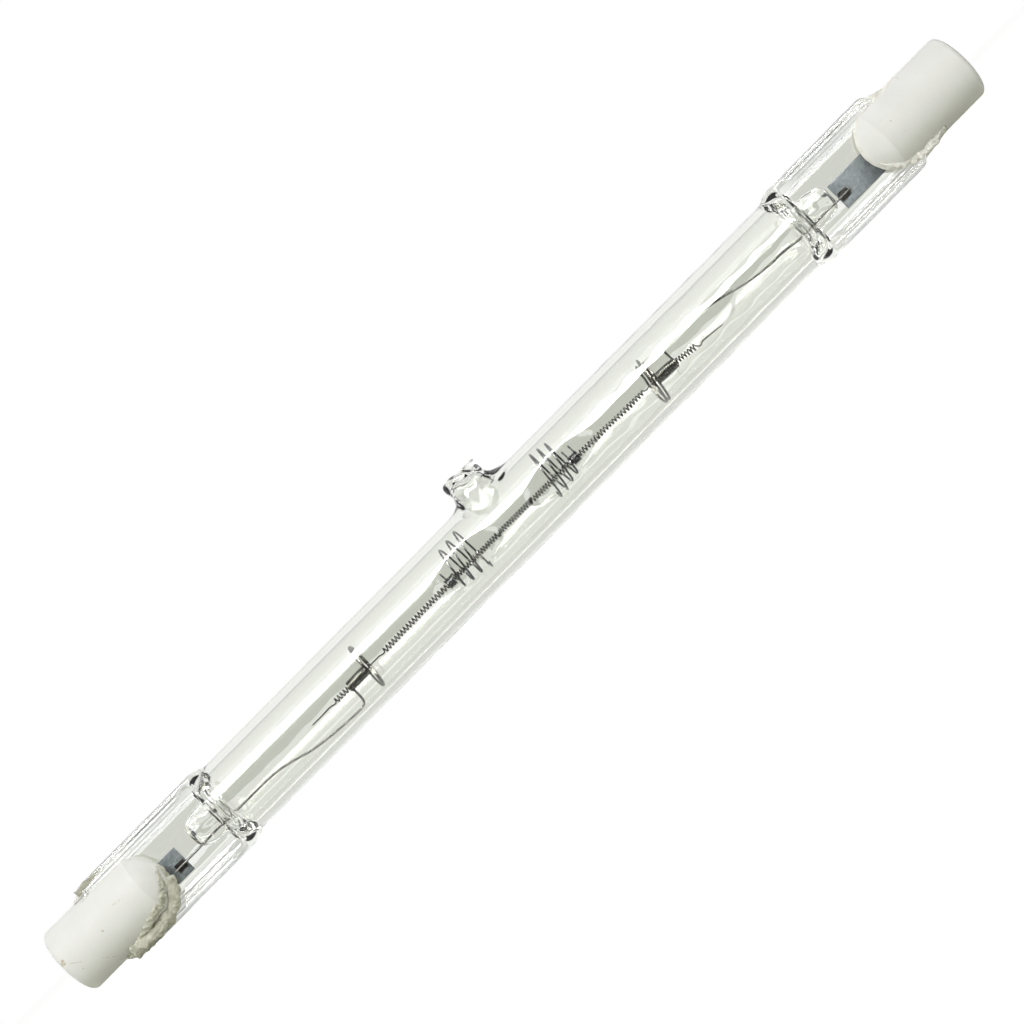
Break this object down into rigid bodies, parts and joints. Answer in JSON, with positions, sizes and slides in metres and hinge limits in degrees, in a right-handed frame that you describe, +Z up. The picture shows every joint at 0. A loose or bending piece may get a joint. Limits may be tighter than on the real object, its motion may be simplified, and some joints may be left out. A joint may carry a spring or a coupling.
{
  "type": "linear halogen lamp",
  "caption": "Slim double-ended halogen lamp: clear quartz tube with coiled filament, flat pinch seals and white ceramic caps with recessed contacts.",
  "frame": {"origin": "on the axis of the round tube, midway between the two ends of the lamp", "axes": "+X along the tube towards the end whose seal is shorter, +Z up from the surface that the lamp lies on"},
  "size_m": [0.1176, 0.008, 0.011],
  "materials": {
    "quartz": "clear",
    "tungsten": "drawn wire",
    "support_wire": "drawn wire",
    "lead_wire": "drawn wire",
    "weld_tab": "dull",
    "foil": "satin",
    "outer_lead": "drawn wire",
    "white_ceramic": "fine matte",
    "contact_metal": "nickel plated",
    "cement": "rough"
  },
  "bodies": {
    "root": {"quartz_envelope": "quartz", "filament": "tungsten", "filament_support_left": "support_wire", "filament_support_right": "support_wire", "inner_lead_left": "lead_wire", "inner_lead_right": "lead_wire", "weld_tab_left": "weld_tab", "weld_tab_right": "weld_tab", "foil_left": "foil", "foil_right": "foil", "outer_lead_left": "outer_lead", "outer_lead_right": "outer_lead", "ceramic_cap_left": "white_ceramic", "ceramic_cap_right": "white_ceramic", "contact_left": "contact_metal", "contact_right": "contact_metal", "cement_left": "cement", "cement_right": "cement"}
  },
  "joints": []
}
